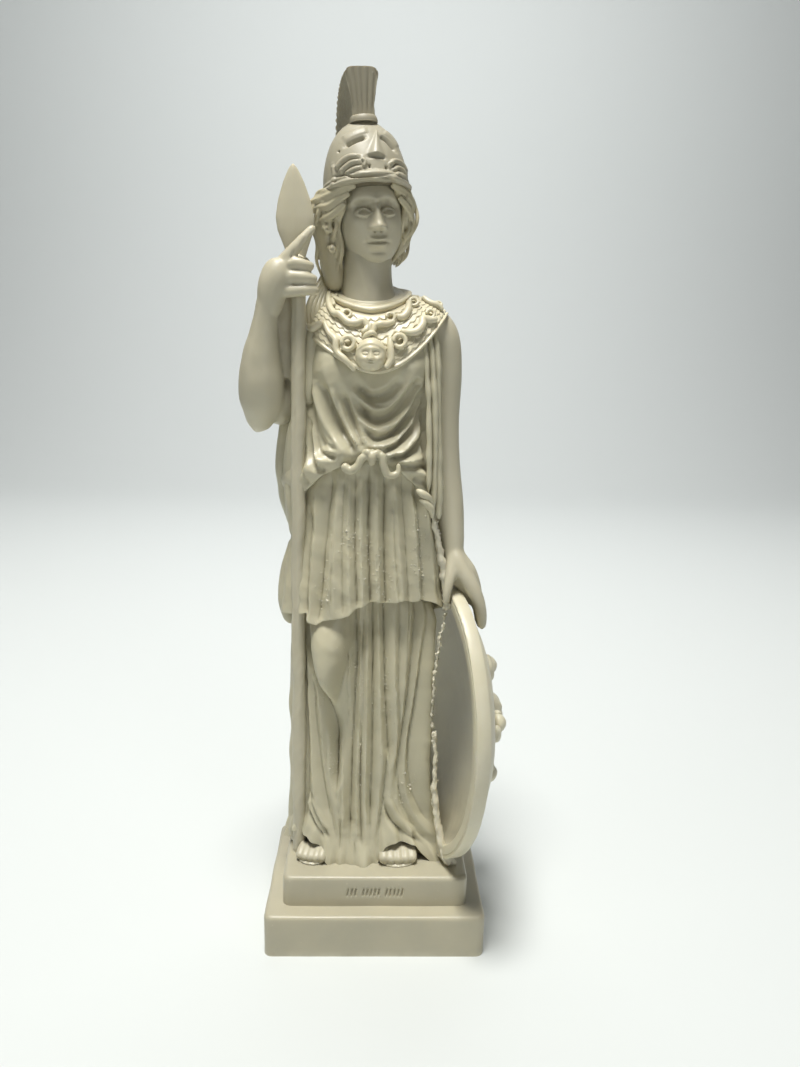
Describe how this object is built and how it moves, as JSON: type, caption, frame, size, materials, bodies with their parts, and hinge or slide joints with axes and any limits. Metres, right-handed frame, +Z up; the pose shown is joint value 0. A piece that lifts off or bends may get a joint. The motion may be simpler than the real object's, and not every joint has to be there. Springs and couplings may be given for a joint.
{
  "type": "athena statue",
  "caption": "Standing goddess in a crested helmet with a spear, a snake-edged collar and an upright round shield, cast in one with a two-step plinth.",
  "frame": {"origin": "centre of the plinth's underside", "axes": "+Z up, the figure faces -Y, +X towards the side that carries the shield"},
  "size_m": [0.0818, 0.0751, 0.2591],
  "materials": {
    "resin": "ivory cast resin, satin, darker in the hollows"
  },
  "bodies": {
    "root": {"athena_statuette": "resin"}
  },
  "joints": []
}
